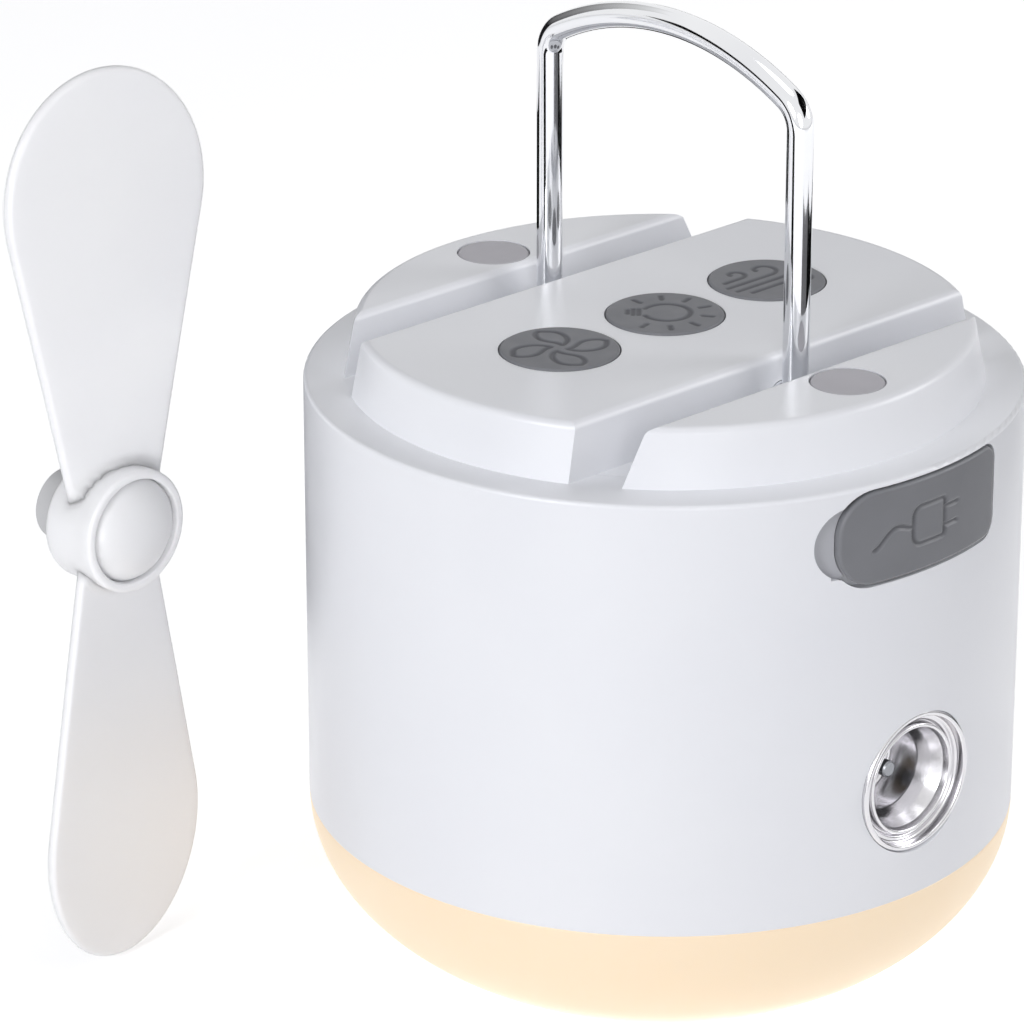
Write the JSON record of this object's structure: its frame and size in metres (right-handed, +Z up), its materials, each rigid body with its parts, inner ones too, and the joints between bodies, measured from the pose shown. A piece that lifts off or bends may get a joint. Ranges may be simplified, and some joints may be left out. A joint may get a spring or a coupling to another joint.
{
  "type": "portable camping fan",
  "caption": "Squat round camping fan and lamp: frosted dome below, raised deck with keys, wire bail, socket cover and fan port, with its two-blade propeller standing beside it off the shaft.",
  "frame": {"origin": "centre of the dome's flat foot, on the surface the fan stands on", "axes": "+Z up; -Y out of the fan port and the socket cover; +X along the row of keys, from the fan key to the wind key; the bail stands in a plane parallel to YZ"},
  "size_m": [0.1044, 0.0964, 0.1205],
  "materials": {
    "white_abs": "moulded, fine satin",
    "frosted_polycarbonate": "frosted, lit from within",
    "soft_seal": "soft foam",
    "chromed_wire": "bright plated round wire",
    "chromed_plastic": "bright plated",
    "key_silicone": "moulded, matt",
    "plug_silicone": "moulded, matt",
    "cover_silicone": "moulded, matt",
    "switch_plastic": "moulded",
    "screw_steel": "zinc plated",
    "board_laminate": "solder mask",
    "component_plastic": "moulded packages",
    "socket_steel": "stamped and plated",
    "chassis_abs": "moulded",
    "motor_steel": "drawn and plated",
    "bell_plastic": "moulded",
    "bushing_bronze": "sintered, oiled",
    "magnet_ferrite": "sintered",
    "brush_carbon": "pressed carbon",
    "shaft_steel": "ground",
    "core_steel": "stacked laminations",
    "winding_copper": "enamelled copper",
    "cell_sleeve": null,
    "lamp_laminate": "white solder mask",
    "led_phosphor": "phosphor dome",
    "propeller_plastic": "translucent, moulded",
    "boss_plastic": "moulded",
    "bush_rubber": "soft push-on bush"
  },
  "bodies": {
    "housing": {"housing_shell": "white_abs", "top_deck": "white_abs", "diffuser_dome": "frosted_polycarbonate", "dome_gasket": "soft_seal", "switch_bodies": "switch_plastic", "screw_plugs": "plug_silicone", "deck_screws": "screw_steel", "cover_anchor": "cover_silicone", "fan_port": "chromed_plastic", "main_board": "board_laminate", "board_components": "component_plastic", "board_screws": "screw_steel", "usb_a_socket": "socket_steel", "usb_c_socket": "socket_steel", "inner_chassis": "chassis_abs", "chassis_screws": "screw_steel", "motor_can": "motor_steel", "motor_end_bell": "bell_plastic", "motor_bushings": "bushing_bronze", "motor_magnets": "magnet_ferrite", "motor_brushes": "brush_carbon", "motor_strap": "chassis_abs", "motor_strap_screws": "screw_steel", "battery_cell": "cell_sleeve", "battery_strap": "chassis_abs", "battery_strap_screws": "screw_steel", "lamp_board": "lamp_laminate", "lamp_leds": "led_phosphor", "lamp_board_screws": "screw_steel"},
    "bail": {"bail_handle": "chromed_wire"},
    "cover": {"socket_cover": "cover_silicone"},
    "fan_key": {"fan_button": "key_silicone", "fan_plunger": "switch_plastic"},
    "lamp_key": {"lamp_button": "key_silicone", "lamp_plunger": "switch_plastic"},
    "wind_key": {"wind_button": "key_silicone", "wind_plunger": "switch_plastic"},
    "rotor": {"motor_shaft": "shaft_steel", "rotor_core": "core_steel", "rotor_windings": "winding_copper", "commutator": "winding_copper"},
    "propeller": {"propeller_blades": "propeller_plastic", "propeller_cap": "propeller_plastic", "propeller_boss": "boss_plastic", "propeller_bush": "bush_rubber"}
  },
  "joints": [
    {"name": "bail_pivot", "type": "hinge", "parent": "housing", "child": "bail", "pos_m": [0.0008, 0, 0.07848], "axis": [0, 1, 0], "range_deg": [-90, 90]},
    {"name": "cover_hinge", "type": "hinge", "parent": "housing", "child": "cover", "pos_m": [0.01308, -0.04065, 0.07008], "axis": [0, 0, 1], "range_deg": [0, 110]},
    {"name": "fan_key_press", "type": "slide", "parent": "housing", "child": "fan_key", "axis": [0, 0, -1], "range_m": [0, 0.0008], "stiffness_N_per_m": 1500, "springref_m": -0.0003},
    {"name": "lamp_key_press", "type": "slide", "parent": "housing", "child": "lamp_key", "axis": [0, 0, -1], "range_m": [0, 0.0008], "stiffness_N_per_m": 1500, "springref_m": -0.0003},
    {"name": "wind_key_press", "type": "slide", "parent": "housing", "child": "wind_key", "axis": [0, 0, -1], "range_m": [0, 0.0008], "stiffness_N_per_m": 1500, "springref_m": -0.0003},
    {"name": "propeller_spin", "type": "hinge", "parent": "housing", "child": "propeller", "pos_m": [-0.0482, 0.0439, 0.0573], "axis": [0.0436, -0.999, 0], "continuous": true},
    {"name": "motor_spin", "type": "hinge", "parent": "housing", "child": "rotor", "pos_m": [0, -0.02, 0.0376], "axis": [0, -1, 0], "continuous": true}
  ],
  "couplings": [
    {"joint": "motor_spin", "follows": "propeller_spin", "ratio": 1}
  ]
}
